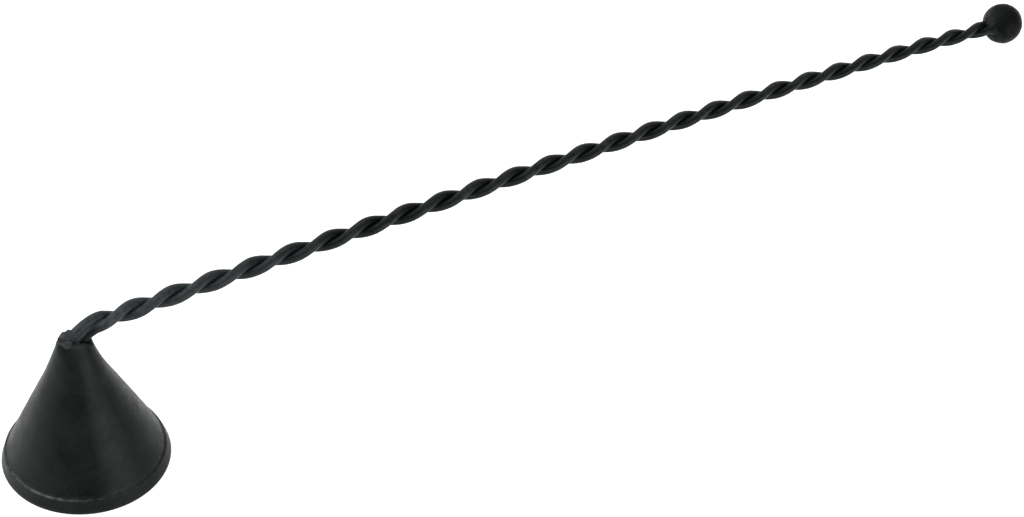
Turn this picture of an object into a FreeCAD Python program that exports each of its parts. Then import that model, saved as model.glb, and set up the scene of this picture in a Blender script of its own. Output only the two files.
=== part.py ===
import FreeCAD, Part
import math
import os

import Sketcher
from FreeCAD import Placement, Rotation, Vector

# Candle snuffer: a spun steel bell with a folded hem, and a long handle of two round rods twisted
# together. The rods are turned down into the oval mouth of the bell's neck and welded there, and
# a drilled steel ball is welded on their other end.
#
# Frame: origin at the centre of the bell's rim, on the surface that the snuffer rests on.
# +Z runs up the bell's axis, and +X runs along the handle, from the bell to the ball.

SIZES = [
    # the bell
    ("rim_radius", 19.22, "outside of the hem at its foot, before the fold is rounded"),
    ("hem_height", 3.3, "height of the folded hem"),
    ("hem_top_radius", 18.35, "outside of the hem at its top"),
    ("hem_thickness", 1.3, "hem at its foot, two layers of sheet"),
    ("hem_round", 0.3, "rounding of the fold at the foot"),
    ("hem_edge_round", 0.3, "rounding of the hem's upper edge"),
    ("foot_radius", 17.75, "outside of the cone where the hem ends"),
    ("sheet", 0.7, "thickness of the sheet"),
    ("root_height", 25.0, "where the straight cone turns into the neck"),
    ("root_radius", 7.25, "outside of the cone there"),
    ("shoulder_height", 30.0, "halfway up the neck"),
    ("shoulder_length", 5.3, "half length of the oval there, along the handle"),
    ("shoulder_width", 5.15, "half width of the oval there"),
    ("shoulder_shift", 0.0, "lean of the neck towards the handle there"),
    ("crown_height", 36.0, "top of the neck before its mouth is trimmed"),
    ("crown_length", 3.85, "half length of the oval there"),
    ("crown_width", 1.7, "half width of the oval there"),
    ("crown_shift", 0.0, "lean of the neck towards the handle there"),
    ("mouth_height", 34.9, "mouth of the neck, on the bell's axis"),
    ("mouth_slope", 0.2, "fall of the mouth towards the handle, per unit of length"),
    # the handle's centre line
    ("handle_start_x", 4.0, "where the twist begins"),
    ("handle_start_height", 37.4, "height of the handle there"),
    ("handle_end_x", 280.8, "the ball's centre"),
    ("handle_end_height", 5.42, "height of the handle there"),
    ("handle_bow", 2.65, "rise of the handle's middle above the straight line"),
    ("handle_skew", 0.85, "how far the bow leans towards the ball"),
    ("handle_sag", 0.3, "how far the handle dips at the bell"),
    ("sag_reach", 0.06, "share of the handle over which that dip fades"),
    # the two rods
    ("rod_radius_bell", 1.15, "radius of each rod at the bell"),
    ("rod_radius_ball", 1.02, "radius of each rod at the ball"),
    ("rod_gap", 0.02, "clearance left between the rods"),
    ("twist_turns", 13.41, "full turns over the handle's length"),
    ("twist_tighten", 0.0166, "share by which the turns close up towards the ball"),
    ("twist_phase", 40.5, "angle of the upper rod at the start, in degrees from straight up"),
    ("twist_slack", 52.0, "how far the twist lags at the bell, in degrees"),
    ("slack_reach", 0.03, "share of the handle over which most of that lag is made up"),
    ("rod_foot_height", 29.4, "lower end of the rods, inside the neck"),
    ("upper_rod_x", -1.35, "where the upper rod stands in the neck"),
    ("upper_rod_y", 0.38, "where the upper rod stands in the neck"),
    ("upper_bend_height", 33.6, "foot of the upper rod's bend"),
    ("upper_bend_start", 0.015, "share of the handle where its bend begins"),
    ("upper_bend_reach", 3.4, "pull of the bend along the handle"),
    ("upper_bend_rise", 1.8, "pull of the bend along the neck"),
    ("lower_rod_x", 1.85, "where the lower rod stands in the neck"),
    ("lower_rod_y", -0.35, "where the lower rod stands in the neck"),
    ("lower_bend_height", 33.1, "foot of the lower rod's bend"),
    ("lower_bend_start", 0.008, "share of the handle where its bend begins"),
    ("lower_bend_reach", 1.9, "pull of the bend along the handle"),
    ("lower_bend_rise", 1.2, "pull of the bend along the neck"),
    ("rod_end_inset", 1.0, "the rods stop this far short of the ball's centre"),
    # the ball and the two welds
    ("ball_radius", 5.4, "radius of the ball"),
    ("socket_radius", 2.15, "hole drilled for the rods"),
    ("socket_depth", 4.9, "depth of that hole, from the ball's surface"),
    ("weld_foot_radius", 3.0, "weld against the ball"),
    ("weld_nose_radius", 2.1, "weld against the rods"),
    ("weld_length", 2.2, "length of that weld along the handle"),
    ("fill_bottom", 30.6, "underside of the weld inside the neck"),
    ("fill_top", 34.5, "top of the weld inside the neck, on the bell's axis"),
]

STATIONS_PER_TURN = 8
BEND_STATIONS = 7
FOOT_STATIONS = 3
STATIONS_PER_LOFT = 24
POINTS_PER_SECTION = 20

doc = FreeCAD.newDocument("candle_snuffer")
sheet = doc.addObject("Spreadsheet::Sheet", "sizes")
for row, (alias, value, note) in enumerate(SIZES, start=1):
    sheet.set("A%d" % row, alias)
    sheet.set("B%d" % row, str(value))
    sheet.setAlias("B%d" % row, alias)
    sheet.set("C%d" % row, note)
doc.recompute()


def size(alias):
    """A driving dimension, as a number."""
    return float(sheet.get(alias))


def value_of(owner, formula):
    """What an expression comes to, as a number."""
    result = owner.evalExpression(formula)
    return float(getattr(result, "Value", result))


# ---------------------------------------------------------------------------- sketch helpers


def new_sketch(body, name, plane, height=None):
    """A sketch on one of the body's own origin planes, lifted by a formula."""
    sketch = body.newObject("Sketcher::SketchObject", name)
    face = [f for f in body.Origin.OriginFeatures if f.Role == plane][0]
    sketch.AttachmentSupport = (face, [""])
    sketch.MapMode = "FlatFace"
    if height is not None:
        sketch.setExpression("AttachmentOffset.Base.z", height)
    return sketch


def bind(sketch, constraint, name, formula):
    """Adds a constraint whose value is a formula on the sheet."""
    index = sketch.addConstraint(constraint)
    sketch.renameConstraint(index, name)
    sketch.setExpression("Constraints." + name, formula)


def draw_outline(sketch, corners):
    """A closed outline of straight lines. Each corner is a pair of formulas."""
    points = [Vector(value_of(sketch, a), value_of(sketch, b), 0) for a, b in corners]
    count = len(points)
    for i in range(count):
        sketch.addGeometry(Part.LineSegment(points[i], points[(i + 1) % count]), False)
    for i in range(count):
        sketch.addConstraint(Sketcher.Constraint("Coincident", i, 2, (i + 1) % count, 1))
    for i, (across, up) in enumerate(corners):
        for kind, formula in (("DistanceX", across), ("DistanceY", up)):
            distance = value_of(sketch, formula)
            constraint = Sketcher.Constraint(kind, -1, 1, i, 1, distance)
            bind(sketch, constraint, "%s_%d" % (kind.lower(), i), formula)


def draw_oval(sketch, shift, length, width):
    """An ellipse with its long axis along the handle. The three sizes are formulas."""
    middle = value_of(sketch, shift)
    long_half = value_of(sketch, length)
    short_half = value_of(sketch, width)
    centre = Vector(middle, 0, 0)
    long_end = Vector(middle + long_half, 0, 0)
    short_end = Vector(middle, short_half, 0)
    sketch.addGeometry(Part.Ellipse(long_end, short_end, centre), False)
    sketch.exposeInternalGeometry(0)
    sketch.addConstraint(Sketcher.Constraint("Horizontal", 1))
    sketch.addConstraint(Sketcher.Constraint("PointOnObject", 0, 3, -1))
    bind(sketch, Sketcher.Constraint("DistanceX", -1, 1, 0, 3, middle), "shift", shift)
    bind(sketch, Sketcher.Constraint("Distance", 1, 2 * long_half), "long", "2 * (%s)" % length)
    bind(sketch, Sketcher.Constraint("Distance", 2, 2 * short_half), "short", "2 * (%s)" % width)


def draw_circle(sketch, radius, rise=None):
    """A circle on the vertical axis of the sketch, lifted by a formula."""
    height = 0.0 if rise is None else value_of(sketch, rise)
    circle = Part.Circle(Vector(0, height, 0), Vector(0, 0, 1), value_of(sketch, radius))
    sketch.addGeometry(circle, False)
    sketch.addConstraint(Sketcher.Constraint("PointOnObject", 0, 3, -2))
    if rise is None:
        sketch.addConstraint(Sketcher.Constraint("PointOnObject", 0, 3, -1))
    else:
        bind(sketch, Sketcher.Constraint("DistanceY", -1, 1, 0, 3, height), "rise", rise)
    bind(sketch, Sketcher.Constraint("Radius", 0, circle.Radius), "radius", radius)


def revolve(body, name, sketch):
    feature = body.newObject("PartDesign::Revolution", name)
    feature.Profile = sketch
    feature.ReferenceAxis = (sketch, ["V_Axis"])
    feature.Angle = 360.0
    doc.recompute()
    return feature


def loft(body, kind, name, sketches):
    """An additive or subtractive loft through a row of sketches."""
    feature = body.newObject("PartDesign::" + kind, name)
    feature.Profile = sketches[0]
    feature.Sections = sketches[1:]
    feature.Ruled = False
    doc.recompute()
    return feature


def cut_with(body, name, sketch, length, symmetric, reverse=False):
    """A pocket that has to take some metal away."""
    before = body.Shape.Volume
    feature = body.newObject("PartDesign::Pocket", name)
    feature.Profile = sketch
    feature.setExpression("Length", length)
    feature.Midplane = symmetric
    feature.Reversed = reverse
    doc.recompute()
    if not feature.Shape.Volume < before - 1e-6:
        raise RuntimeError(name + " cuts nothing")
    return feature


def circle_edges(shape, radius, height):
    """Names of the shape's round edges of that radius, at that height."""
    found = []
    for number, edge in enumerate(shape.Edges, start=1):
        curve = edge.Curve
        if not isinstance(curve, Part.Circle):
            continue
        if abs(curve.Radius - radius) < 1e-4 and abs(curve.Center.z - height) < 1e-4:
            found.append("Edge%d" % number)
    return found


def round_edges(body, name, base, edges, radius):
    feature = body.newObject("PartDesign::Fillet", name)
    feature.Base = (base, edges)
    feature.setExpression("Radius", radius)
    doc.recompute()
    return feature


# ------------------------------------------------------------------------------- the bell

# The wall runs at a slant, so its horizontal run is a little more than the sheet's thickness.
WALL_RUN = (
    "sizes.sheet * sqrt(1 + ((sizes.foot_radius - sizes.root_radius)"
    " / (sizes.root_height - sizes.hem_height)) ^ 2)"
)


def neck_sketches(body, prefix, inset):
    """The neck's three sections: round at its root, and oval at its shoulder and crown."""
    root = new_sketch(body, prefix + "_root", "XY_Plane", "sizes.root_height")
    draw_circle(root, "sizes.root_radius" + inset)
    sketches = [root]
    for level in ("shoulder", "crown"):
        sketch = new_sketch(body, prefix + "_" + level, "XY_Plane", "sizes.%s_height" % level)
        draw_oval(
            sketch,
            "sizes.%s_shift" % level,
            "sizes.%s_length%s" % (level, inset),
            "sizes.%s_width%s" % (level, inset),
        )
        sketches.append(sketch)
    doc.recompute()
    return sketches


def trim_above(body, name, height):
    """Cuts the neck off along the sloping plane of its mouth, at a height on the bell's axis."""
    reach = "sizes.rim_radius"
    left_top = "%s + sizes.mouth_slope * %s" % (height, reach)
    right_top = "%s - sizes.mouth_slope * %s" % (height, reach)
    ceiling = "sizes.crown_height + sizes.rim_radius"
    sketch = new_sketch(body, name + "_section", "XZ_Plane")
    corners = [("-" + reach, left_top), (reach, right_top), (reach, ceiling), ("-" + reach, ceiling)]
    draw_outline(sketch, corners)
    doc.recompute()
    return cut_with(body, name, sketch, "4 * sizes.rim_radius", True)


def build_bell():
    """Spun cone with a folded hem at its foot and a slightly flattened, open neck."""
    body = doc.addObject("PartDesign::Body", "bell_body")
    body.Label = "snuffer_bell"
    section = new_sketch(body, "bell_section", "XZ_Plane")
    draw_outline(
        section,
        [
            ("sizes.rim_radius", "0"),
            ("sizes.hem_top_radius", "sizes.hem_height"),
            ("sizes.foot_radius", "sizes.hem_height"),
            ("sizes.root_radius", "sizes.root_height"),
            ("sizes.root_radius - " + WALL_RUN, "sizes.root_height"),
            ("sizes.foot_radius - " + WALL_RUN, "sizes.hem_height"),
            ("sizes.rim_radius - sizes.hem_thickness", "0"),
        ],
    )
    revolve(body, "bell_cone", section)
    loft(body, "AdditiveLoft", "neck_outside", neck_sketches(body, "outside", ""))
    inside = neck_sketches(body, "inside", " - " + WALL_RUN)
    loft(body, "SubtractiveLoft", "neck_inside", inside)
    mouth = trim_above(body, "mouth", "sizes.mouth_height")
    fold = circle_edges(mouth.Shape, size("rim_radius"), 0.0)
    fold += circle_edges(mouth.Shape, size("rim_radius") - size("hem_thickness"), 0.0)
    hem = round_edges(body, "hem_fold", mouth, fold, "sizes.hem_round")
    upper_edge = circle_edges(hem.Shape, size("hem_top_radius"), size("hem_height"))
    round_edges(body, "hem_edge", hem, upper_edge, "sizes.hem_edge_round")
    return body


# ------------------------------------------------------------------------------- the rods


def handle_line(share):
    """A point on the handle's centre line, and the line's slope there. share runs from 0 to 1."""
    length = size("handle_end_x") - size("handle_start_x")
    drop = size("handle_end_height") - size("handle_start_height")
    bow = 4 * size("handle_bow")
    skew = 10 * size("handle_skew")
    hump = share * (1 - share)
    sag = size("handle_sag") * math.exp(-share / size("sag_reach"))
    height = size("handle_start_height") + drop * share + bow * hump + skew * hump * (share - 0.5)
    rise = drop + bow * (1 - 2 * share) + skew * (hump + (1 - 2 * share) * (share - 0.5))
    height -= sag
    rise += sag / size("sag_reach")
    point = Vector(size("handle_start_x") + length * share, 0, height)
    return point, math.atan2(rise, length)


def rod_radius(share):
    start = size("rod_radius_bell")
    return start + (size("rod_radius_ball") - start) * share


def twisted_point(side, share):
    """A point on the centre line of one rod in the twist. The twist is left-handed."""
    centre, slope = handle_line(share)
    turns = size("twist_turns") * (share + size("twist_tighten") * share * (share - 1))
    lag = size("twist_slack") * math.exp(-share / size("slack_reach"))
    angle = math.radians(size("twist_phase") - lag) + 2 * math.pi * turns
    if side == "lower":
        angle += math.pi
    up = Vector(-math.sin(slope), 0, math.cos(slope))
    across = Vector(0, 1, 0)
    return centre + (up * math.cos(angle) + across * math.sin(angle)) * rod_radius(share)


def twisted_direction(side, share):
    step = 1e-4
    return (twisted_point(side, share + step) - twisted_point(side, share - step)).normalize()


def rod_stations(side):
    """Centre, direction and radius of the sections along one rod, from the neck to the ball."""
    up = Vector(0, 0, 1)
    radius = size("rod_radius_bell") - size("rod_gap") / 2
    foot = Vector(size(side + "_rod_x"), size(side + "_rod_y"), size("rod_foot_height"))
    bend_foot = Vector(foot.x, foot.y, size(side + "_bend_height"))
    stations = []
    for i in range(FOOT_STATIONS):
        stations.append((foot + (bend_foot - foot) * (i / FOOT_STATIONS), up, radius))

    # The bend is a cubic curve from the neck's direction to the twist's.
    start = size(side + "_bend_start")
    twist_start = twisted_point(side, start)
    twist_way = twisted_direction(side, start)
    pull_neck = bend_foot + up * size(side + "_bend_rise")
    pull_twist = twist_start - twist_way * size(side + "_bend_reach")
    for i in range(BEND_STATIONS):
        along = i / BEND_STATIONS
        back = 1 - along
        point = (
            bend_foot * back**3
            + pull_neck * (3 * back**2 * along)
            + pull_twist * (3 * back * along**2)
            + twist_start * along**3
        )
        way = (
            (pull_neck - bend_foot) * back**2
            + (pull_twist - pull_neck) * (2 * back * along)
            + (twist_start - pull_twist) * along**2
        )
        stations.append((point, way.normalize(), radius))

    length = size("handle_end_x") - size("handle_start_x")
    end = 1 - size("rod_end_inset") / length
    count = round(size("twist_turns") * STATIONS_PER_TURN)
    for i in range(count + 1):
        share = start + (end - start) * i / count
        thickness = rod_radius(share) - size("rod_gap") / 2
        stations.append((twisted_point(side, share), twisted_direction(side, share), thickness))
    return stations


def section_ring(radius):
    """A closed smooth curve through points on a circle about the origin."""
    points = []
    for i in range(POINTS_PER_SECTION):
        angle = 2 * math.pi * i / POINTS_PER_SECTION
        points.append(Vector(radius * math.cos(angle), radius * math.sin(angle), 0))
    curve = Part.BSplineCurve()
    curve.interpolate(Points=points, PeriodicFlag=True)
    return Part.Wire([curve.toShape()])


def build_rod(side):
    """One round rod, lofted through rings square to its centre line, a few turns at a time."""
    rings = []
    for centre, way, radius in rod_stations(side):
        across = Vector(0, 1, 0)
        across = (across - way * across.dot(way)).normalize()
        ring = section_ring(radius)
        ring.Placement = Placement(centre, Rotation(across, way.cross(across), way, "ZXY"))
        rings.append(ring)
    lengths = []
    for first in range(0, len(rings) - 1, STATIONS_PER_LOFT):
        last = first + STATIONS_PER_LOFT + 1
        lengths.append(Part.makeLoft(rings[first:last], True, False))
    rod = doc.addObject("Part::Feature", side + "_rod")
    rod.Label = "twisted_rod_" + side
    rod.Shape = lengths[0].fuse(lengths[1:])
    return rod


# ------------------------------------------------------------------------------- the ball


def handle_end_angle():
    """Tilt of the handle where it meets the ball, in degrees, as a turn about +Y."""
    return -math.degrees(handle_line(1.0)[1])


def build_ball():
    """Steel ball, drilled along the handle for the ends of the rods."""
    body = doc.addObject("PartDesign::Body", "ball_body")
    body.Label = "ball_end"
    section = new_sketch(body, "ball_section", "XZ_Plane")
    radius = size("ball_radius")
    half_circle = Part.ArcOfCircle(
        Part.Circle(Vector(0, 0, 0), Vector(0, 0, 1), radius), -math.pi / 2, math.pi / 2
    )
    section.addGeometry(half_circle, False)
    section.addGeometry(Part.LineSegment(Vector(0, radius, 0), Vector(0, -radius, 0)), False)
    section.addConstraint(Sketcher.Constraint("Coincident", 0, 2, 1, 1))
    section.addConstraint(Sketcher.Constraint("Coincident", 0, 1, 1, 2))
    section.addConstraint(Sketcher.Constraint("Coincident", 0, 3, -1, 1))
    section.addConstraint(Sketcher.Constraint("Vertical", 1))
    bind(section, Sketcher.Constraint("Radius", 0, radius), "radius", "sizes.ball_radius")
    revolve(body, "ball_solid", section)
    floor = "sizes.socket_depth - sizes.ball_radius"
    drill = new_sketch(body, "socket_section", "YZ_Plane", floor)
    draw_circle(drill, "sizes.socket_radius", "sizes.handle_end_height - sizes.ball_radius")
    doc.recompute()
    cut_with(body, "socket", drill, "2 * sizes.ball_radius", False)
    body.setExpression("Placement.Base.x", "sizes.handle_end_x")
    body.setExpression("Placement.Base.z", "sizes.ball_radius")
    body.Placement.Rotation = Rotation(Vector(0, 1, 0), handle_end_angle())
    return body


# ------------------------------------------------------------------------------ the welds


def build_neck_weld(rods):
    """Weld metal that fills the neck round the two rods, a little below the mouth."""
    body = doc.addObject("PartDesign::Body", "neck_fill")
    loft(body, "AdditiveLoft", "fill_solid", neck_sketches(body, "fill", " - " + WALL_RUN))
    trim_above(body, "fill_surface", "sizes.fill_top")
    base = new_sketch(body, "fill_base_section", "XY_Plane", "sizes.fill_bottom")
    draw_circle(base, "2 * sizes.root_radius")
    doc.recompute()
    cut_with(body, "fill_base", base, "sizes.root_height", False)
    weld = doc.addObject("Part::Cut", "neck_weld_cut")
    weld.Label = "neck_weld"
    weld.Base = body
    weld.Tool = rods
    return weld


def build_ball_weld(ball, rods):
    """Weld fillet round the rods where they enter the ball."""
    slope = handle_line(1.0)[1]
    back = Vector(-math.cos(slope), 0, -math.sin(slope))
    end = handle_line(1.0)[0]
    inset = size("ball_radius") - size("weld_length") / 2
    cone = doc.addObject("Part::Cone", "weld_cone")
    cone.setExpression("Radius1", "sizes.weld_foot_radius")
    cone.setExpression("Radius2", "sizes.weld_nose_radius")
    cone.setExpression("Height", "sizes.weld_length")
    cone.Placement = Placement(end + back * inset, Rotation(Vector(0, 0, 1), back))
    core = doc.addObject("Part::Sphere", "ball_core")
    core.setExpression("Radius", "sizes.ball_radius")
    core.Placement = ball.Placement
    metal = doc.addObject("Part::MultiFuse", "rods_and_ball")
    metal.Shapes = [core, rods]
    weld = doc.addObject("Part::Cut", "ball_weld_cut")
    weld.Label = "ball_weld"
    weld.Base = cone
    weld.Tool = metal
    return weld


# ---------------------------------------------------------------------- build and export

bell = build_bell()
upper_rod = build_rod("upper")
lower_rod = build_rod("lower")
ball_end = build_ball()
doc.recompute()

both_rods = doc.addObject("Part::MultiFuse", "both_rods")
both_rods.Shapes = [upper_rod, lower_rod]
neck_weld = build_neck_weld(both_rods)
ball_weld = build_ball_weld(ball_end, both_rods)
doc.recompute()

for thing in doc.Objects:
    if "Invalid" in thing.State or "Error" in thing.State:
        raise RuntimeError("%s failed: %s" % (thing.Name, thing.State))

pieces = [bell, upper_rod, lower_rod, ball_end, neck_weld, ball_weld]
for piece in pieces:
    if piece.Shape.isNull() or not piece.Shape.isValid():
        raise RuntimeError(piece.Label + " has no valid shape")

os.makedirs("parts", exist_ok=True)
for piece in pieces:
    piece.Shape.exportStep("parts/%s.step" % piece.Label)
    box = piece.Shape.BoundBox
    print(
        "%-20s solids %d  faces %2d  volume %9.2f  x %.2f..%.2f  y %.2f..%.2f  z %.2f..%.2f"
        % (
            piece.Label,
            len(piece.Shape.Solids),
            len(piece.Shape.Faces),
            piece.Shape.Volume,
            box.XMin,
            box.XMax,
            box.YMin,
            box.YMax,
            box.ZMin,
            box.ZMax,
        )
    )
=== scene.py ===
import math

import bpy
import numpy as np
from mathutils import Matrix, Vector


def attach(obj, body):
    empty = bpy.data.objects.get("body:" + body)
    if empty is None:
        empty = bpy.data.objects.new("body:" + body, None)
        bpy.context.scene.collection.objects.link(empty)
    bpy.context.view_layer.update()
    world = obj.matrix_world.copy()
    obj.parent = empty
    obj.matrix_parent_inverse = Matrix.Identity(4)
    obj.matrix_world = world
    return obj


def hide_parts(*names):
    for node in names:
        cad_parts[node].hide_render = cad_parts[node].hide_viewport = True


# The looks of a candle snuffer, in black painted iron: a bell with a folded hem, a handle of two
# rods twisted together, a ball on their end, and the two welds that hold them.
# The shapes are worked out in millimetres in the CAD frame, and become metres in new_piece().

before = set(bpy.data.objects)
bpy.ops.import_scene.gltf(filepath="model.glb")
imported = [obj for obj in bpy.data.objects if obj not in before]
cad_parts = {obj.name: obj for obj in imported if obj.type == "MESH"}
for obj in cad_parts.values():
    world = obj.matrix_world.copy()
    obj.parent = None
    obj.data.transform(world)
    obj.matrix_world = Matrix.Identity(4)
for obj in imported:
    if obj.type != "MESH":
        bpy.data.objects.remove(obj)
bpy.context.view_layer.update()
MM = 0.001
TAU = 2 * math.pi


# ------------------------------------------------------------------------------- sizes, in mm

# The bell: its rim, the hem, the cone's foot, and the root of the neck
RIM_RADIUS = 19.22
HEM_HEIGHT, HEM_TOP_RADIUS, HEM_THICKNESS = 3.3, 18.35, 1.3
FOOT_RADIUS = 17.75
ROOT_HEIGHT, ROOT_RADIUS = 25.0, 7.25
SHEET = 0.7
# The sheet's thickness when it is measured level, across the cone's slope
WALL_RUN = SHEET * math.hypot(1, (FOOT_RADIUS - ROOT_RADIUS) / (ROOT_HEIGHT - HEM_HEIGHT))
# The step from the cone to the hem, out and down
STEP_OUT, STEP_DOWN = 0.03, 0.1
# The hem's round crest: its centre back and down from the hem's top corner, radius, first angle
CREST_BACK, CREST_DOWN, CREST_RADIUS, CREST_START = 0.55, 0.72, 0.6, 64
# The hem's round lower edge: radius, how far in from the rim its centre is, and its last angle
FOLD_RADIUS, FOLD_BACK, FOLD_END = 0.33, 0.4, -196
# The neck's oval at three heights: height, half length, half width
NECK = ((ROOT_HEIGHT, ROOT_RADIUS, ROOT_RADIUS), (30.0, 5.3, 5.15), (36.0, 3.85, 1.7))
# The neck's mouth slopes down towards the handle, and its lip is rounded
MOUTH_HEIGHT, MOUTH_SLOPE, LIP_ROUND = 34.9, 0.2, 0.22

# A nick in the lip, beside the lower rod: its direction, depth and spread in radians
NICK_ANGLE, NICK_DEPTH, NICK_SPREAD = math.radians(320), 1.25, 0.22
# The lip's left end stands a little higher
LIP_ANGLE, LIP_PEAK, LIP_SPREAD = math.radians(188), 0.4, 0.7
# The bell is a little out of round, up to a height
OVAL, OVAL_START, OVAL_END = 0.16, 3.0, 16.0
# The hem's crest is higher on the left: by how much, towards where, and the band that follows it
HEM_TILT, TILT_ANGLE, TILT_BAND = 0.25, math.radians(200), (HEM_HEIGHT - 0.3, 0.9)
# The dents follow a cylinder of this radius, and start at the rim and are full at this height
DENT_RADIUS, DENTS_FULL = 12.0, 4.0

# Rubbed paint, as shares: on the lip, inside it, at the cone's foot, and on the hem
LIP_WEAR, INNER_LIP_WEAR, FOOT_WEAR, HEM_WEAR = 0.3, 0.4, 0.25, 0.35
# Bands that are rubbed, by height and spread: the hem's two edges; and the band of the hem's crest that
# carries a painted highlight
HEM_BANDS = ((HEM_HEIGHT - 0.15, 0.3), (0.25, 0.5))
CREST_HIGHLIGHT_BAND = (HEM_HEIGHT - 0.22, 0.16)
# How far up from the hem the cone's foot is rubbed
FOOT_BAND = 0.9
# Stretches that are paler, by direction, spread and share: on the lip's left end, rubbed paint that is also
# a painted highlight; on the hem's crest at the left, a painted highlight put down as rubbed paint
LIP_RUB_AND_HIGHLIGHT = (LIP_ANGLE + 0.2, 0.45, 1.0)
CREST_HIGHLIGHT = (math.radians(200), 0.62, 1.05)

# The handle's centre line: its ends, its arch, how far the arch leans, and its sag at the bell
START_X, START_Z = 4.0, 37.4
END_X, END_Z = 280.8, 5.42
HANDLE_RUN = END_X - START_X
BOW, SKEW = 2.65, 0.85
SAG, SAG_REACH = 0.3, 0.06

# The rods taper towards the ball, and carry a coat of paint
ROD_RADIUS_BELL, ROD_RADIUS_BALL, PAINT = 1.15, 1.02, 0.03
# The twist: its turns, the share by which they close up towards the ball, and where it starts
TURNS, TIGHTEN, PHASE = 13.41, 0.0166, math.radians(40.5)
# The twist lags at the bell, and makes most of that up over a share of the handle
SLACK, SLACK_REACH = math.radians(52.0), 0.03
# Height of the rods' lower ends, and how far their other ends stop short of the handle's end
ROD_FOOT, ROD_STOP = 29.4, 1.0
# The rods' ends are slightly rounded: share of the radius, and how far it stands out
CUT_ROUNDING = ((0.93, 0.06), (0.8, 0.1), (0.45, 0.11))
# Each rod: turn of its phase, place in the neck, height where its bend starts, share of the handle
# where the bend ends in the twist, and the bend's pull along the twist and up the neck
RODS = {
    "upper": dict(phase=0.0, place=(-1.35, 0.38), bend_foot=33.6, start=0.015, along=3.4, up=1.8),
    "lower": dict(phase=math.pi, place=(1.85, -0.35), bend_foot=33.1, start=0.008, along=1.9, up=1.2),
}
# Rubbed paint on the rods: its share, and where along X it starts, just past the bend
ROD_WEAR, ROD_WEAR_START = 0.32, 6.0
# It is on the rods' outer sides, from 0 to full between these shares of the twist's outer radius
OUTER_START, OUTER_FULL = 0.86, 1.0
# It fades between these shares of the handle, to this share of itself, as painted shade that darkens the
# rods towards the ball
BALL_SHADE_START, BALL_SHADE_END, BALL_SHADE_TO = 0.6, 1.0, 0.5
# Painted light on the rods near the bell, where more light falls on them: where along X it starts to fade,
# and where it is gone
PAINTED_LIGHT_START, PAINTED_LIGHT_END = 10.0, 75.0
# The lower rod's bend is left darker, as painted shade: where along X its painted light starts, and where it
# is full
FOOT_SHADE_START, FOOT_SHADE_END = 4.0, 7.0

# The ball, how far its dented skin is set in, and its blind hole
BALL_RADIUS, BALL_INSET = 5.4, 0.07
BALL_CENTRE = np.array([END_X, 0.0, BALL_RADIUS])
SOCKET_RADIUS, SOCKET_DEPTH = 2.15, 4.9
# The hole's mouth is wider than its wall, and is reached in steps: how much wider, how far below
MOUTH_WIDER = 0.25
SOCKET_FLARE = ((0.0, 0.22), (0.09, 0.1), (0.19, 0.02))
# Rubbed paint on the ball's proud spots, and a painted highlight, put down as rubbed paint, on its upper
# left side: their shares, and that side
BALL_WEAR, BALL_HIGHLIGHT, BALL_HIGHLIGHT_SIDE = 0.25, 0.6, (-0.8, 0.35, 0.42)
PROUD_START, PROUD_FULL = 0.02, 0.09
# The fillet of weld at the ball: radius of its foot, length, and how far its foot sinks in
BALL_WELD_FOOT, BALL_WELD_LENGTH, BALL_WELD_SINK = 3.0, 2.1, 0.1
# The weld in the neck: levels of its two faces, and how far it reaches into the wall
FILL_LOW, FILL_HIGH, FILL_OVERLAP = 30.85, 34.25, 0.1
# How its faces climb the wall and each rod: height, and reach as a share and in mm
WALL_CLIMB, WALL_REACH, ROD_CLIMB, ROD_REACH = 0.3, 0.12, 0.35, 0.35
# Its top is heaped on the left: height, and the stretch along -X over which it rises
FILL_HEAP, HEAP_START, HEAP_FULL = 1.0, 0.2, 2.6
# A pit in its top, under the nick: depth, then middle and spread along X and along Y
PIT_DEPTH, PIT_X, PIT_Y = 2.2, (2.4, 0.9), (-1.4, 0.7)
# Beads of weld over the left end of the mouth: centre and half sizes
NECK_BEADS = (
    ((-1.55, 0.55, 35.75), (1.35, 1.3, 1.5)),
    ((-0.35, 0.75, 35.95), (1.2, 1.0, 1.3)),
    ((-1.75, -0.75, 35.1), (1.15, 0.8, 0.9)),
)
# Weld metal run between the rods, up from this height in the neck
WEB_FOOT = 33.5
# Its radius falls from the sum of these two to the second, between these places along X
WEB_RADIUS, WEB_LEAST, WEB_START, WEB_END = 0.85, 0.12, 1.5, 13.0

# Unevenness of each surface: height and wavelength of each layer of ripples
BELL_DENTS = ((0.045, 13.0), (0.016, 5.0))
ROD_RIPPLES = ((0.012, 3.2), (0.006, 1.1))
BALL_DENTS = ((0.04, 5.5), (0.028, 2.2), (0.012, 0.9))
BALL_WELD_RIPPLES = ((0.05, 1.3), (0.02, 0.6))
FILL_RIPPLES = ((0.08, 1.6),)
BEAD_RIPPLES = ((0.07, 1.5),)
WEB_RIPPLES = ((0.06, 1.2),)
# The first layer's seed on each surface; the layers after it count on from there
SEEDS = dict(bell=3, upper=11, lower=15, ball=21, ball_weld=31, fill_top=41, fill_bottom=42, bead=43, web=47)

UP = np.array([0.0, 0.0, 1.0])
ACROSS = np.array([0.0, 1.0, 0.0])


# ------------------------------------------------------------------------------ mesh helpers


def smooth_step(low, high, x):
    """From 0 at low to 1 at high, with no corners."""
    t = np.clip((np.asarray(x, float) - low) / (high - low), 0, 1)
    return t * t * (3 - 2 * t)


def peak(x, middle, spread):
    """1 at the middle, and less and less on both sides of it."""
    return np.exp(-(((x - middle) / spread) ** 2))


def unit(vectors):
    return vectors / np.linalg.norm(vectors, axis=-1, keepdims=True)


def directions(columns):
    """Even angles all the way round."""
    return np.arange(columns) * TAU / columns


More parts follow.
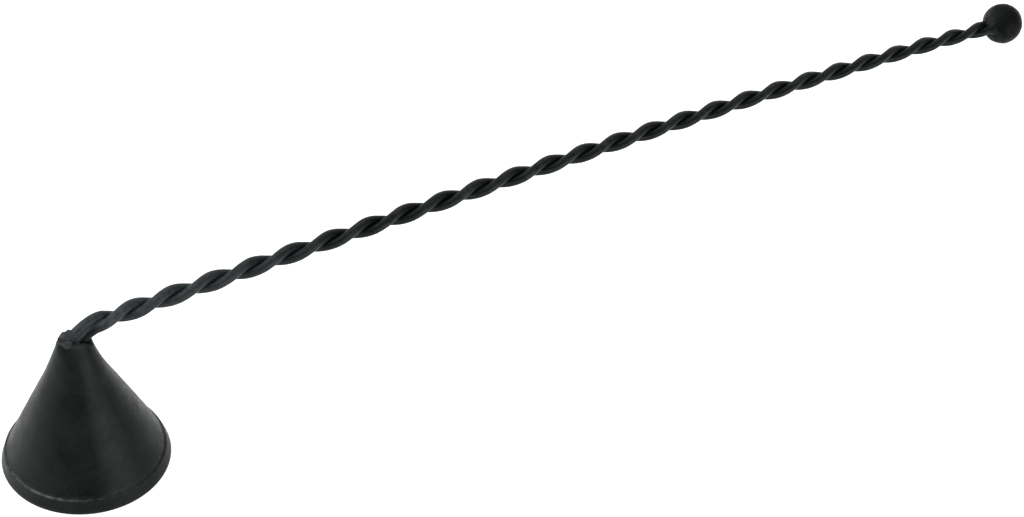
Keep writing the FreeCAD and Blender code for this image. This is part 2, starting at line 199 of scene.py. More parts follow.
def ripple(points, wavelength, seed, waves=28):
    """Smooth unevenness of about that wavelength, near -1 to 1, the same on every run."""
    draw = np.random.RandomState(seed)
    way = draw.normal(size=(waves, 3))
    way /= np.linalg.norm(way, axis=1)[:, None]
    way *= (TAU / wavelength) * draw.uniform(0.65, 1.35, (waves, 1))
    phase = draw.uniform(0, TAU, waves)
    return np.cos(points @ way.T + phase).sum(1) * math.sqrt(2 / waves) * 0.6


def uneven(points, layers, seed):
    """Layers of ripples added up."""
    return sum(height * ripple(points, wave, seed + i) for i, (height, wave) in enumerate(layers))


def grid_faces(rows, columns, close_rows=False):
    """Quads of a grid whose columns wrap round, and whose rows may."""
    faces = []
    for r in range(rows if close_rows else rows - 1):
        below, above = r * columns, ((r + 1) % rows) * columns
        for c in range(columns):
            n = (c + 1) % columns
            faces.append((below + c, below + n, above + n, above + c))
    return faces


def lidded_faces(rows, columns):
    """Quads of a grid, with a lid on its first row and on its last."""
    faces = grid_faces(rows, columns)
    faces.append(tuple(range(columns))[::-1])
    faces.append(tuple(range((rows - 1) * columns, rows * columns)))
    return faces


def tube(line, first, second, radii, columns):
    """Points of a tube along a line, row by row, and the way out at each of them."""
    turn = directions(columns)
    out = np.cos(turn)[None, :, None] * first[:, None] + np.sin(turn)[None, :, None] * second[:, None]
    points = line[:, None] + out * radii[:, None, None]
    return points.reshape(-1, 3), out.reshape(-1, 3)


def new_piece(name, points, faces, node, material, wear_and_painted_light=None, painted_light=None):
    """A smooth mesh from points in mm, standing in for a CAD node. Wear and painted light are per point; the
    wear also carries painted highlights and painted shade.
    """
    mesh = bpy.data.meshes.new(name)
    mesh.from_pydata((np.asarray(points) * MM).tolist(), [], faces)
    mesh.validate()
    mesh.shade_smooth()
    for label, values in (("wear_and_painted_light", wear_and_painted_light), ("painted_light", painted_light)):
        if values is not None:
            layer = mesh.attributes.new(label, "FLOAT", "POINT")
            layer.data.foreach_set("value", np.asarray(values, np.float32))
    mesh.materials.append(material)
    piece = bpy.data.objects.new(name, mesh)
    bpy.context.scene.collection.objects.link(piece)
    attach(piece, "root")
    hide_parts(node)
    return piece


# ---------------------------------------------------------------------------------- materials


class Nodes:
    """A short way to write a node material."""

    def __init__(self, name):
        self.material = bpy.data.materials.new(name)
        self.material.use_nodes = True
        self.tree = self.material.node_tree
        self.tree.nodes.clear()
        self.shader = self.add("ShaderNodeBsdfPrincipled")
        output = self.add("ShaderNodeOutputMaterial")
        self.link(self.shader.outputs["BSDF"], output.inputs["Surface"])
        self.place = self.add("ShaderNodeTexCoord").outputs["Object"]

    def add(self, kind, **values):
        node = self.tree.nodes.new(kind)
        for key, value in values.items():
            setattr(node, key, value)
        return node

    def link(self, source, target):
        self.tree.links.new(source, target)

    def attribute(self, name):
        """A number that the mesh holds at each of its points."""
        return self.add("ShaderNodeAttribute", attribute_name=name).outputs["Fac"]

    def noise(self, size_mm, detail, rough, distortion=0.0):
        """Noise whose features are about that size."""
        node = self.add("ShaderNodeTexNoise")
        node.inputs["Scale"].default_value = 1000.0 / size_mm
        node.inputs["Detail"].default_value = detail
        node.inputs["Roughness"].default_value = rough
        node.inputs["Distortion"].default_value = distortion
        self.link(self.place, node.inputs["Vector"])
        return node.outputs["Fac"]

    def ramp(self, source, low, high, to_low=0.0, to_high=1.0):
        """Stretches low to high of the source over to_low to to_high."""
        node = self.add("ShaderNodeMapRange", clamp=True)
        node.inputs["From Min"].default_value = low
        node.inputs["From Max"].default_value = high
        node.inputs["To Min"].default_value = to_low
        node.inputs["To Max"].default_value = to_high
        self.link(source, node.inputs["Value"])
        return node.outputs["Result"]

    def maths(self, operation, first, second):
        """A sum, difference or product of two values, each a number or a socket."""
        node = self.add("ShaderNodeMath", operation=operation)
        for value, socket in ((first, node.inputs[0]), (second, node.inputs[1])):
            if isinstance(value, (int, float)):
                socket.default_value = value
            else:
                self.link(value, socket)
        return node.outputs[0]

    def mix(self, factor, first, second):
        """Mixes two colours, each a tuple or a socket."""
        node = self.add("ShaderNodeMix", data_type="RGBA")
        self.link(factor, node.inputs[0])
        for value, socket in ((first, node.inputs[6]), (second, node.inputs[7])):
            if isinstance(value, tuple):
                socket.default_value = value + (1.0,)
            else:
                self.link(value, socket)
        return node.outputs[2]

    def bump(self, height, distance_mm, strength, under=None):
        """Relief from a height, on top of any relief under it."""
        node = self.add("ShaderNodeBump")
        node.inputs["Distance"].default_value = distance_mm * MM
        node.inputs["Strength"].default_value = strength
        self.link(height, node.inputs["Height"])
        if under is not None:
            self.link(under, node.inputs["Normal"])
        return node.outputs["Normal"]


# The colour of rubbed paint, which is also the colour of the painted highlights
RUBBED_PAINT_AND_HIGHLIGHT = (0.068, 0.071, 0.072)
GLOSS_TINT = (0.84, 1.0, 0.97, 1.0)
PAINT_IOR = 1.46


def painted_iron(name, dark, pale, rough, grain=1.0, scale=0.0, wear_and_painted_light=0.6, painted_light_colour=None, shine=0.14):
    """Black paint on iron: cloudy colour, orange peel, fine grit, any painted light, and rubbed parts that
    also carry painted highlights and painted shade.
    """
    n = Nodes(name)
    cloud = n.noise(9.0, detail=4, rough=0.6, distortion=0.4)
    speck = n.noise(0.9, detail=3, rough=0.65)
    paint = n.mix(n.ramp(cloud, 0.35, 0.68), dark, pale)
    flecks = n.ramp(speck, 0.55, 0.75, 0.0, 0.35)
    paint = n.mix(flecks, paint, tuple(1.7 * c for c in pale))

    if painted_light_colour is not None:
        # Painted light: paler near the bell, where more light falls on the rods
        mottled = n.ramp(n.noise(1.4, detail=4, rough=0.6), 0.35, 0.65, 0.45, 1.0)
        paint = n.mix(n.maths("MULTIPLY", n.attribute("painted_light"), mottled), paint, painted_light_colour)

    drift = n.ramp(n.noise(5.0, detail=4, rough=0.6), 0.3, 0.7, rough - 0.07, rough + 0.08)
    matt = n.maths("ADD", drift, n.ramp(speck, 0.4, 0.7, -0.04, 0.05))
    if wear_and_painted_light:
        # Rubbed edges show a greyer, smoother paint and, in spots, the iron; the same mask also lays down
        # painted highlights, and where it fades, painted shade
        patchy = n.ramp(n.noise(1.6, detail=5, rough=0.7), 0.36, 0.62)
        rubbed = n.maths("MULTIPLY", n.maths("MULTIPLY", n.attribute("wear_and_painted_light"), patchy), wear_and_painted_light)
        paint = n.mix(rubbed, paint, RUBBED_PAINT_AND_HIGHLIGHT)
        bare = n.ramp(rubbed, 0.35, 0.8)
        n.link(n.maths("MULTIPLY", bare, 0.5), n.shader.inputs["Metallic"])
        matt = n.maths("SUBTRACT", matt, n.maths("MULTIPLY", rubbed, 0.14))
    n.link(paint, n.shader.inputs["Base Color"])
    n.link(matt, n.shader.inputs["Roughness"])

    # Relief, from long waves in the paint down to grit, and pits where the iron is scaly
    relief = n.bump(n.noise(3.2, detail=2, rough=0.5), 0.06, 0.5 * grain)
    relief = n.bump(n.noise(0.75, detail=2, rough=0.5), 0.03, 0.45 * grain, relief)
    relief = n.bump(n.noise(0.16, detail=3, rough=0.6), 0.012, 0.4 * grain, relief)
    if scale:
        pits = n.ramp(n.noise(1.3, detail=4, rough=0.62), 0.42, 0.6)
        relief = n.bump(pits, 0.05, scale, relief)
    n.link(relief, n.shader.inputs["Normal"])
    n.shader.inputs["IOR"].default_value = PAINT_IOR
    n.shader.inputs["Specular IOR Level"].default_value = shine
    n.shader.inputs["Specular Tint"].default_value = GLOSS_TINT
    return n.material


BELL_IRON = painted_iron(
    "bell_iron", dark=(0.0017, 0.0025, 0.0024), pale=(0.0052, 0.0066, 0.0063), rough=0.43
)
# The rods' paler colour near the bell is painted light
ROD_IRON = painted_iron(
    "rod_iron", dark=(0.0012, 0.0018, 0.0019), pale=(0.0046, 0.0056, 0.0058), rough=0.4,
    grain=0.9, scale=0.25, painted_light_colour=(0.031, 0.036, 0.039),
)
BALL_IRON = painted_iron(
    "ball_iron", dark=(0.0004, 0.0006, 0.0006), pale=(0.0034, 0.0037, 0.0035), rough=0.5,
    grain=1.2, scale=0.8, shine=0.085,
)
# The neck weld is paler than the other paint, as painted light: a painted highlight on the weld at the lip's
# left end, and a lighter colour in the crease between the rods, where shade falls
WELD_IRON = painted_iron(
    "weld_iron", dark=(0.020, 0.021, 0.022), pale=(0.040, 0.042, 0.044), rough=0.5,
    grain=1.4, scale=0.9, wear_and_painted_light=0.0,
)
BALL_WELD_IRON = painted_iron(
    "ball_weld_iron", dark=(0.0012, 0.0016, 0.0016), pale=(0.0040, 0.0044, 0.0042), rough=0.5,
    grain=1.4, scale=0.9, wear_and_painted_light=0.0,
)


# ----------------------------------------------------------------------------------- the bell


def neck_value(column, z):
    """One of the neck's sizes at a height, on the parabola through its three sections."""
    total = 0
    for i, section in enumerate(NECK):
        term = section[column]
        for j, other in enumerate(NECK):
            if j != i:
                term = term * (z - other[0]) / (section[0] - other[0])
        total = total + term
    return total


def skin(theta, z, inset):
    """A point of the cone or the neck: inset 0 is outside, WALL_RUN is inside."""
    cone = FOOT_RADIUS + (ROOT_RADIUS - FOOT_RADIUS) * (z - HEM_HEIGHT) / (ROOT_HEIGHT - HEM_HEIGHT)
    above = z > ROOT_HEIGHT
    length = np.where(above, neck_value(1, z), cone) - inset
    width = np.where(above, neck_value(2, z), cone) - inset
    return np.stack([length * np.cos(theta), width * np.sin(theta), z], -1)


def mouth_height(theta, inset):
    """Height of the sloping mouth on one skin, with the lip's nick and its higher left end."""
    z = np.full_like(theta, MOUTH_HEIGHT)
    # The slope is gentle, so a few rounds settle where the skin meets the mouth
    for _ in range(12):
        z = MOUTH_HEIGHT - MOUTH_SLOPE * skin(theta, z, inset)[..., 0]
    turn = np.minimum(np.abs(theta - NICK_ANGLE), TAU - np.abs(theta - NICK_ANGLE))
    nick = NICK_DEPTH * peak(turn, 0, NICK_SPREAD)
    return z - nick + LIP_PEAK * peak(theta, LIP_ANGLE, LIP_SPREAD)


def rub_and_highlight(theta, middle, spread, amount):
    """Extra paleness that is strongest in one direction: rubbed paint, and a painted highlight."""
    return amount * peak(theta, middle, spread)


def arc(centre, radius, start, end, count):
    """Points (r, z) on an arc, angles in degrees."""
    turn = np.radians(np.linspace(start, end, count))
    return [(centre[0] + radius * math.cos(t), centre[1] + radius * math.sin(t)) for t in turn]


def hem_outline():
    """The hem's section from the cone's foot, round the fold, to the inside. Pairs r, z."""
    slope = math.degrees(math.atan2(RIM_RADIUS - HEM_TOP_RADIUS, HEM_HEIGHT))
    crest = (HEM_TOP_RADIUS - CREST_BACK, HEM_HEIGHT - CREST_DOWN)
    out = [(FOOT_RADIUS, HEM_HEIGHT), (FOOT_RADIUS + STEP_OUT, HEM_HEIGHT - STEP_DOWN)]
    out += arc(crest, CREST_RADIUS, CREST_START, slope, 12)
    top = out[-1]
    fold = arc((RIM_RADIUS - FOLD_BACK, FOLD_RADIUS), FOLD_RADIUS, slope, -90, 9)
    for t in np.linspace(0, 1, 12)[1:-1]:
        out.append((top[0] + (fold[0][0] - top[0]) * t, top[1] + (fold[0][1] - top[1]) * t))
    out += fold
    inner = RIM_RADIUS - HEM_THICKNESS
    out += arc((inner + FOLD_RADIUS, FOLD_RADIUS), FOLD_RADIUS, -90, FOLD_END, 9)
    return out


def build_bell():
    """One closed skin: down the outside, round the hem, up the inside and over the lip."""
    columns = 288
    theta = directions(columns)
    rows, wear_and_painted_light = [], []

    def add_row(points, amount):
        rows.append(points)
        wear_and_painted_light.append(np.zeros(columns) + amount)

    def round_row(r, z):
        return np.stack([r * np.cos(theta), r * np.sin(theta), np.full(columns, z)], -1)

    neck_out = mouth_height(theta, 0.0) - LIP_ROUND - ROOT_HEIGHT
    for t in np.linspace(1, 0, 44):
        add_row(skin(theta, ROOT_HEIGHT + t * neck_out, 0.0), LIP_WEAR * smooth_step(0.93, 1.0, t))
    for z in np.linspace(ROOT_HEIGHT, HEM_HEIGHT + 0.02, 90)[1:]:
        rubbed = 1 - smooth_step(HEM_HEIGHT, HEM_HEIGHT + FOOT_BAND, z)
        add_row(skin(theta, np.full(columns, z), 0.0), FOOT_WEAR * rubbed)

    hem = hem_outline()
    for r, z in hem:
        rubbed = max(peak(z, *band) for band in HEM_BANDS)
        crest = peak(z, *CREST_HIGHLIGHT_BAND)
        # On the left the hem's crest carries a painted highlight, laid down as rubbed paint
        add_row(round_row(r, z), HEM_WEAR * rubbed + crest * rub_and_highlight(theta, *CREST_HIGHLIGHT))

    last_r, last_z = hem[-1]
    inner_foot = FOOT_RADIUS - WALL_RUN
    for z in np.linspace(last_z, HEM_HEIGHT, 12)[1:-1]:
        r = last_r + (inner_foot - last_r) * (z - last_z) / (HEM_HEIGHT - last_z)
        add_row(round_row(r, z), 0.0)
    for z in np.linspace(HEM_HEIGHT, ROOT_HEIGHT, 80):
        add_row(skin(theta, np.full(columns, z), WALL_RUN), 0.0)
    neck_in = mouth_height(theta, WALL_RUN) - LIP_ROUND - ROOT_HEIGHT
    for t in np.linspace(0, 1, 40)[1:]:
        rubbed = smooth_step(0.95, 1.0, t)
        add_row(skin(theta, ROOT_HEIGHT + t * neck_in, WALL_RUN), INNER_LIP_WEAR * rubbed)

    for t in np.linspace(0, 1, 11)[1:-1]:
        inset = WALL_RUN * (0.5 + 0.5 * math.cos(math.pi * t))
        drop = LIP_ROUND * (1 - math.sin(math.pi * t) ** 0.6)
        z = mouth_height(theta, inset) - drop
        # The lip's left end is rubbed paler, and this also paints its highlight
        add_row(skin(theta, z, inset), LIP_WEAR + rub_and_highlight(theta, *LIP_RUB_AND_HIGHLIGHT))

    points = np.concatenate(rows)
    height = points[:, 2].copy()
    around = np.tile(theta, len(rows))
    outward = np.stack([np.cos(around), np.sin(around)], -1)
    # The dents depend on direction and height only, so both faces of the sheet get the same
    cylinder = np.concatenate([outward * DENT_RADIUS, height[:, None]], 1)
    bulge = uneven(cylinder, BELL_DENTS, SEEDS["bell"]) * smooth_step(0.0, DENTS_FULL, height)
    bulge -= OVAL * np.cos(2 * around) * (1 - smooth_step(OVAL_START, OVAL_END, height))
    points[:, :2] += outward * bulge[:, None]
    points[:, 2] += HEM_TILT * np.cos(around - TILT_ANGLE) * peak(height, *TILT_BAND)
    faces = grid_faces(len(rows), columns, close_rows=True)
    wear_and_painted_light = np.concatenate(wear_and_painted_light)
    return new_piece("bell", points, faces, "snuffer_bell", BELL_IRON, wear_and_painted_light)


# ----------------------------------------------------------------------------------- the rods


def handle_line(share):
    """The handle's centre line and its slope, at shares of its length."""
    share = np.asarray(share, float)
    drop = END_Z - START_Z
    hump = share * (1 - share)
    sag = SAG * np.exp(-share / SAG_REACH)
    height = START_Z + drop * share + 4 * BOW * hump + 10 * SKEW * hump * (share - 0.5) - sag
    lean = (1 - 2 * share) * (share - 0.5)
    rise = drop + 4 * BOW * (1 - 2 * share) + 10 * SKEW * (hump + lean) + sag / SAG_REACH
    points = np.stack([START_X + HANDLE_RUN * share, np.zeros_like(share), height], -1)
    return points, np.arctan2(rise, HANDLE_RUN)


def rod_radius(share):
    return ROD_RADIUS_BELL + (ROD_RADIUS_BALL - ROD_RADIUS_BELL) * np.asarray(share, float)


def twist_angle(share):
    """Turn of the upper rod about the handle's centre line, at shares of its length."""
    lag = SLACK * np.exp(-share / SLACK_REACH)
    return PHASE + TAU * TURNS * (share + TIGHTEN * share * (share - 1)) - lag


def twisted(share, phase):
    """Centre line of one rod in the twist, which is left-handed."""
    share = np.asarray(share, float)
    centre, slope = handle_line(share)
    angle = twist_angle(share) + phase
    zero = np.zeros_like(share)
    up = np.stack([-np.sin(slope), zero, np.cos(slope)], -1)
    across = np.stack([zero, zero + 1, zero], -1)
    offset = up * np.cos(angle)[..., None] + across * np.sin(angle)[..., None]
    return centre + offset * rod_radius(share)[..., None]


def rod_path(side):
    """Centre line, directions and radii of one rod, from the neck to the ball."""
    rod = RODS[side]
    start, phase = rod["start"], rod["phase"]
    foot = np.array([*rod["place"], rod["bend_foot"]])
    straight = [foot - UP * h for h in np.linspace(rod["bend_foot"] - ROD_FOOT, 0, 18)[:-1]]
    first = twisted(start, phase)
    nudge = 1e-4
    way = unit(twisted(start + nudge, phase) - twisted(start - nudge, phase))
    t = np.linspace(0, 1, 60)[:-1, None]
    bend = (
        (1 - t) ** 3 * foot
        + 3 * (1 - t) ** 2 * t * (foot + UP * rod["up"])
        + 3 * (1 - t) * t * t * (first - way * rod["along"])
        + t**3 * first
    )
    share = np.linspace(start, 1 - ROD_STOP / HANDLE_RUN, 1250)
    points = np.concatenate([np.array(straight), bend, twisted(share, phase)])
    radii = np.concatenate([np.full(len(straight) + len(bend), rod_radius(0.0)), rod_radius(share)])
    return points, unit(np.gradient(points, axis=0)), radii + PAINT


def close_end(points, faces, row, columns, centre, way, flip):
    """Adds a slightly rounded cut to a tube at one of its end rows. Returns all the points."""
    ring = list(range(row * columns, (row + 1) * columns))
    edge = points[ring] - centre
    for share, depth in CUT_ROUNDING:
        new = list(range(len(points), len(points) + columns))
        points = np.concatenate([points, centre + edge * share + way * depth])
        for c in range(columns):
            n = (c + 1) % columns
            quad = (ring[c], ring[n], new[n], new[c])
            faces.append(quad if flip else quad[::-1])
        ring = new
    tip = len(points)
    for c in range(columns):
        triangle = (ring[c], ring[(c + 1) % columns], tip)
        faces.append(triangle if flip else triangle[::-1])
    return np.concatenate([points, (centre + way * depth)[None]])


def build_rod(side):
    """A rod from the neck to the ball, closed at both ends, and rubbed on its outer side, with painted light
    near the bell and painted shade towards the ball.
    """
    line, ways, radii = rod_path(side)
    columns, last = 28, len(line) - 1
    first = unit(ACROSS - ways * ways[:, 1:2])
    points, out = tube(line, first, np.cross(ways, first), radii, columns)
    points = points + out * uneven(points, ROD_RIPPLES, SEEDS[side])[:, None]
    faces = grid_faces(len(line), columns)
    points = close_end(points, faces, 0, columns, line[0], -ways[0], False)
    points = close_end(points, faces, last, columns, line[last], ways[last], True)

    x = points[:, 0]
    share = np.clip((x - START_X) / HANDLE_RUN, 0, 1)
    middle, _ = handle_line(share)
    reach = np.linalg.norm(points - middle, axis=1) / (2 * rod_radius(share))
    # Painted shade: the rubbed paint fades towards the ball, darkening the rods there
    ball_shade = 1 - (1 - BALL_SHADE_TO) * smooth_step(BALL_SHADE_START, BALL_SHADE_END, share)
    wear_and_painted_light = ROD_WEAR * smooth_step(OUTER_START, OUTER_FULL, reach) * (x > ROD_WEAR_START) * ball_shade
    # Painted light: the rods are paler near the bell
    painted_light = 1 - smooth_step(PAINTED_LIGHT_START, PAINTED_LIGHT_END, x)
    # Painted shade: the lower rod's bend keeps the dark paint
    if side == "lower":
        painted_light = painted_light * smooth_step(FOOT_SHADE_START, FOOT_SHADE_END, x)
    node = "twisted_rod_" + side
    return new_piece("rod_" + side, points, faces, node, ROD_IRON, wear_and_painted_light, painted_light)


# ----------------------------------------------------------------------------------- the ball


def end_frame():
    """The end of the handle's centre line, and three axes there: back along it, up, and across."""
    end, slope = handle_line(1.0)
    back = np.array([-math.cos(slope), 0.0, -math.sin(slope)])
    return end, back, np.cross(ACROSS, back), ACROSS


def ball_profile():
    """The ball's section, from the floor of its hole over the outside, and the hole's rows."""
    floor = BALL_RADIUS - SOCKET_DEPTH
    mouth = math.asin((SOCKET_RADIUS + MOUTH_WIDER) / BALL_RADIUS)
    level = BALL_RADIUS * math.cos(mouth)
    wall = level - SOCKET_FLARE[0][1] - floor
    profile = [(SOCKET_RADIUS * share, floor) for share in (0.02, 0.35, 0.7, 0.95)]
    profile += [(SOCKET_RADIUS, floor + wall * t) for t in np.linspace(0.03, 1, 14)[:-1]]
    profile += [(SOCKET_RADIUS + wider, level - lower) for wider, lower in SOCKET_FLARE]
    hole_rows = len(profile)
    for a in np.linspace(mouth, math.pi - 0.004, 130):
        profile.append((BALL_RADIUS * math.sin(a), BALL_RADIUS * math.cos(a)))
    return profile, hole_rows


def build_ball():
    """A dented ball with a blind hole for the rods, rubbed on its proud spots, with a painted highlight on
    its upper left side.
    """
    end, back, up, across = end_frame()
    profile, hole_rows = ball_profile()
    columns = 160
    turn = directions(columns)
    ring = np.cos(turn)[:, None] * up + np.sin(turn)[:, None] * across
    points = np.concatenate([BALL_CENTRE + back * along + ring * radius for radius, along in profile])
    row = np.repeat(np.arange(len(profile)), columns)
    socket = row < hole_rows
    points[socket] += up * float(np.dot(end - BALL_CENTRE, up))
    normal = unit(points - BALL_CENTRE)
    dent = uneven(points, BALL_DENTS, SEEDS["ball"])
    mouth_blend = smooth_step(0, 12, row - hole_rows)
    points += normal * ((dent - BALL_INSET) * mouth_blend)[:, None]
    faces = lidded_faces(len(profile), columns)
    # Painted highlight on the ball's upper left side, laid down as rubbed paint
    upper_left_highlight = smooth_step(0.8, 1.0, normal @ unit(np.array(BALL_HIGHLIGHT_SIDE)))
    proud = smooth_step(PROUD_START, PROUD_FULL, dent)
    wear_and_painted_light = (BALL_WEAR * proud + BALL_HIGHLIGHT * upper_left_highlight) * (~socket)
    return new_piece("ball", points, faces, "ball_end", BALL_IRON, wear_and_painted_light)


# ---------------------------------------------------------------------------------- the welds


def rods_outline(turn, angle, radius, least):
    """Distance from the middle to the skin of two touching rods, in directions turn."""
    return np.maximum(2 * radius * np.abs(np.cos(turn - angle)), least)


def build_ball_weld():
    """A fillet that hugs the rods, spreads over the ball, and turns back inside."""
    end, back, up, across = end_frame()
    columns, steps = 96, 22
    turn = directions(columns)
    ring = np.cos(turn)[:, None] * up + np.sin(turn)[:, None] * across
    foot = BALL_WELD_FOOT * (1 + 0.07 * np.sin(3 * turn + 1) + 0.04 * np.sin(7 * turn))
    away = math.sqrt(BALL_RADIUS**2 - BALL_WELD_FOOT**2) - BALL_WELD_SINK
    rows = []
    # t runs from the nose on the rods to the foot on the ball
    for t in np.linspace(0, 1, steps):
        along = away + BALL_WELD_LENGTH * (1 - t)
        angle = twist_angle(1 - along / HANDLE_RUN)
        hug = rods_outline(turn, angle, ROD_RADIUS_BALL, 1.0)
        blend = t**2.2
        radius = (hug + 0.05 + 0.12 * min(1, 3 * t)) * (1 - blend) + foot * blend
        # The nose starts just inside the rods' skin
        if t == 0:
            radius = hug * 0.97
        rows.append(end + back * along + ring * radius[:, None])
    # Hidden rows close it, inside the ball and then between the rods
    for inset, radius in ((0.5, 2.2), (0.9, 1.2)):
        rows.append(end + back * (away - inset) + ring * radius)
    rows.append(end + back * (away + BALL_WELD_LENGTH - 0.3) + ring * 0.8)
    points = np.concatenate(rows)
    outward = points - (end + back * ((points - end) @ back)[:, None])
    seen = np.repeat(np.arange(len(rows)) < steps, columns)
    rough = uneven(points, BALL_WELD_RIPPLES, SEEDS["ball_weld"]) * seen
    points += unit(outward) * rough[:, None]
    faces = grid_faces(len(rows), columns, close_rows=True)
    return new_piece("ball_weld_bead", points, faces, "ball_weld", BALL_WELD_IRON)


def weld_bead(centre, half):
    """A closed, uneven bead of weld metal, from its centre and half sizes."""
    columns, rows = 40, 24
    turn = directions(columns)
    tilt = np.linspace(-0.49, 0.49, rows)[:, None] * math.pi
    level = np.cos(tilt)
    rise = np.broadcast_to(np.sin(tilt), (rows, columns))
    ball = np.stack([level * np.cos(turn), level * np.sin(turn), rise], -1).reshape(-1, 3)
    points = np.array(centre) + ball * np.array(half)
    points += unit(points - centre) * uneven(points, BEAD_RIPPLES, SEEDS["bead"])[:, None]
    return points, lidded_faces(rows, columns)


def weld_web():
    """A closed run of weld metal that fills the groove between the rods above the neck."""
    upper, lower = rod_path("upper")[0], rod_path("lower")[0]
    upper = upper[(upper[:, 2] > WEB_FOOT) & (upper[:, 0] < WEB_END)]
    gaps = np.linalg.norm(upper[:, None] - lower[None], axis=2)
    nearest = lower[gaps.argmin(1)]
    middle = (upper + nearest) / 2
    # Points that hardly move on from the one before would fold the tube
    keep = np.concatenate([[True], np.linalg.norm(np.diff(middle, axis=0), axis=1) > 0.03])
    upper, nearest, middle = upper[keep], nearest[keep], middle[keep]
    way = unit(np.gradient(middle, axis=0))
    first = unit(upper - nearest)
    first = unit(first - way * (first * way).sum(1)[:, None])
    columns = 32
    radii = WEB_RADIUS * (1 - smooth_step(WEB_START, WEB_END, middle[:, 0])) + WEB_LEAST
    points, out = tube(middle, first, np.cross(way, first), radii, columns)
    points += out * uneven(points, WEB_RIPPLES, SEEDS["web"])[:, None]
    return points, lidded_faces(len(middle), columns)


def fill_face(height, columns, is_top):
    """One face of the weld in the neck, row by row from the wall to its middle."""
    theta = directions(columns)
    edge = skin(theta, np.full(columns, height), WALL_RUN - FILL_OVERLAP)
    middle = edge.mean(0)
    rows = []
    for share in np.linspace(1, 0.04, 16):
        spot = middle + (edge - middle) * share
        x, y = spot[:, 0], spot[:, 1]
        rise = np.full(columns, WALL_CLIMB * peak(share, 1, WALL_REACH))
        for rod in RODS.values():
            away = np.hypot(x - rod["place"][0], y - rod["place"][1]) - ROD_RADIUS_BELL
            rise = rise + ROD_CLIMB * peak(np.maximum(away, 0), 0, ROD_REACH)
        rise = rise + uneven(spot, FILL_RIPPLES, SEEDS["fill_top" if is_top else "fill_bottom"])
        if is_top:
            heap = FILL_HEAP * smooth_step(HEAP_START, HEAP_FULL, -x)
            pit = PIT_DEPTH * peak(x, *PIT_X) * peak(y, *PIT_Y)
            rise = rise - MOUTH_SLOPE * x + heap - pit
        spot[:, 2] = height + rise if is_top else height - rise
        rows.append(spot)
    return rows


def build_neck_weld():
    """The plug of weld in the neck, with the beads over its lip and the run between the rods."""
    columns = 96
    top = fill_face(FILL_HIGH, columns, True)
    bottom = fill_face(FILL_LOW, columns, False)
    points = np.concatenate(top[::-1] + bottom)
    faces = lidded_faces(len(top + bottom), columns)
    for more_points, more_faces in [weld_bead(*sizes) for sizes in NECK_BEADS] + [weld_web()]:
        first = len(points)
        points = np.concatenate([points, more_points])
        faces += [tuple(first + c for c in face) for face in more_faces]
    return new_piece("neck_weld_fill", points, faces, "neck_weld", WELD_IRON)


build_bell()
build_rod("upper")
build_rod("lower")
build_ball()
build_ball_weld()
build_neck_weld()


# ------------------------------------------------------------------- floor, lights and camera

# Half the floor's side in metres, and its glow
FLOOR_HALF, FLOOR_GLOW = 6.0, 0.95
# The light tent's strength all round, and its brighter parts: direction, the cosines where each
# starts and is full, and its strength
AMBIENT = 0.1
TENT = (
    ((0.0, 0.0, 1.0), 0.1, 0.9, 0.35),
    ((0.59, 0.81, 0.15), 0.15, 0.85, 0.6),
    ((-0.81, 0.58, 0.25), 0.6, 0.95, 1.3),
    ((-0.35, 0.25, 0.9), 0.7, 0.97, 2.1),
)
# Lamps that face the bell: place, width and height in metres, and power in watts
LIGHT_TARGET = (0.0, 0.0, 0.02)
LIGHTS = {
    "key": ((0.37, -1.09, 0.2), 0.85, 0.28, 5.7),
    "side": ((-0.42, -0.03, 0.44), 0.32, 0.32, 1.4),
}
# The camera's place in metres, the way it looks, its right-hand side, and its lens in mm
CAMERA_PLACE = (-0.18927, -0.42234, 0.44605)
CAMERA_LOOK = (0.44803, 0.61531, -0.64858)
CAMERA_RIGHT = (0.81416, -0.58053, 0.01165)
LENS, SENSOR_WIDTH = 98.4375, 36.0


def build_floor():
    """A white floor that glows a little, as a lit table does, so that its shadows stay faint."""
    n = Nodes("pale_floor")
    tone = n.ramp(n.noise(60.0, detail=3, rough=0.5), 0.35, 0.65)
    n.link(n.mix(tone, (0.30, 0.30, 0.298), (0.33, 0.33, 0.33)), n.shader.inputs["Base Color"])
    rough = n.ramp(n.noise(3.0, detail=2, rough=0.5), 0.3, 0.7, 0.75, 0.85)
    n.link(rough, n.shader.inputs["Roughness"])
    n.shader.inputs["Specular IOR Level"].default_value = 0.1
    n.shader.inputs["Emission Color"].default_value = (1.0, 1.0, 1.0, 1.0)
    n.shader.inputs["Emission Strength"].default_value = FLOOR_GLOW
    mesh = bpy.data.meshes.new("floor")
    corners = [(FLOOR_HALF * x, FLOOR_HALF * y, 0) for x, y in ((-1, -1), (1, -1), (1, 1), (-1, 1))]
    mesh.from_pydata(corners, [], [(0, 1, 2, 3)])
    mesh.materials.append(n.material)
    floor = bpy.data.objects.new("floor", mesh)
    bpy.context.scene.collection.objects.link(floor)


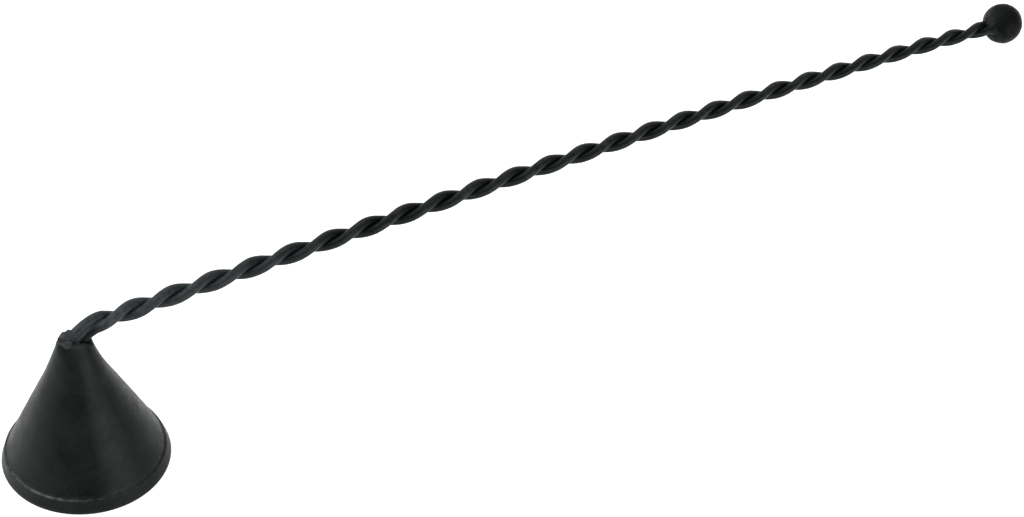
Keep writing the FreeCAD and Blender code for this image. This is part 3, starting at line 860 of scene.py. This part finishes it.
def build_world():
    """A light tent: bright overhead, behind and to the left, and dim on the camera's side."""
    world = bpy.data.worlds.new("tent")
    world.use_nodes = True
    tree = world.node_tree
    background = tree.nodes["Background"]
    background.inputs["Color"].default_value = (1.0, 1.0, 1.0, 1.0)
    place = tree.nodes.new("ShaderNodeTexCoord")
    total = None
    for way, start, full, strength in TENT:
        dot = tree.nodes.new("ShaderNodeVectorMath")
        dot.operation = "DOT_PRODUCT"
        dot.inputs[1].default_value = Vector(way).normalized()
        tree.links.new(place.outputs["Generated"], dot.inputs[0])
        lobe = tree.nodes.new("ShaderNodeMapRange")
        lobe.interpolation_type = "SMOOTHSTEP"
        lobe.inputs["From Min"].default_value = start
        lobe.inputs["From Max"].default_value = full
        lobe.inputs["To Max"].default_value = strength
        tree.links.new(dot.outputs["Value"], lobe.inputs["Value"])
        added = tree.nodes.new("ShaderNodeMath")
        tree.links.new(lobe.outputs["Result"], added.inputs[0])
        if total is None:
            added.inputs[1].default_value = AMBIENT
        else:
            tree.links.new(total, added.inputs[1])
        total = added.outputs[0]
    tree.links.new(total, background.inputs["Strength"])
    bpy.context.scene.world = world


def area_light(name, place, width, height, power):
    light = bpy.data.lights.new(name, "AREA")
    light.shape = "RECTANGLE"
    light.size, light.size_y = width, height
    light.energy = power
    lamp = bpy.data.objects.new(name, light)
    lamp.location = Vector(place)
    way = Vector(LIGHT_TARGET) - Vector(place)
    lamp.rotation_euler = way.to_track_quat("-Z", "Y").to_euler()
    bpy.context.scene.collection.objects.link(lamp)


def build_camera():
    look = Vector(CAMERA_LOOK).normalized()
    right = Vector(CAMERA_RIGHT)
    right = (right - look * right.dot(look)).normalized()
    up = right.cross(look).normalized()
    camera_data = bpy.data.cameras.new("camera")
    camera_data.sensor_width = SENSOR_WIDTH
    camera_data.lens = LENS
    camera_data.clip_start, camera_data.clip_end = 0.01, 50.0
    camera = bpy.data.objects.new("camera", camera_data)
    turn = Matrix((right, up, -look)).transposed().to_4x4()
    camera.matrix_world = Matrix.Translation(CAMERA_PLACE) @ turn
    bpy.context.scene.collection.objects.link(camera)
    bpy.context.scene.camera = camera


build_floor()
build_world()
for lamp_name, sizes in LIGHTS.items():
    area_light(lamp_name, *sizes)
build_camera()
bpy.context.scene.view_settings.view_transform = "Standard"
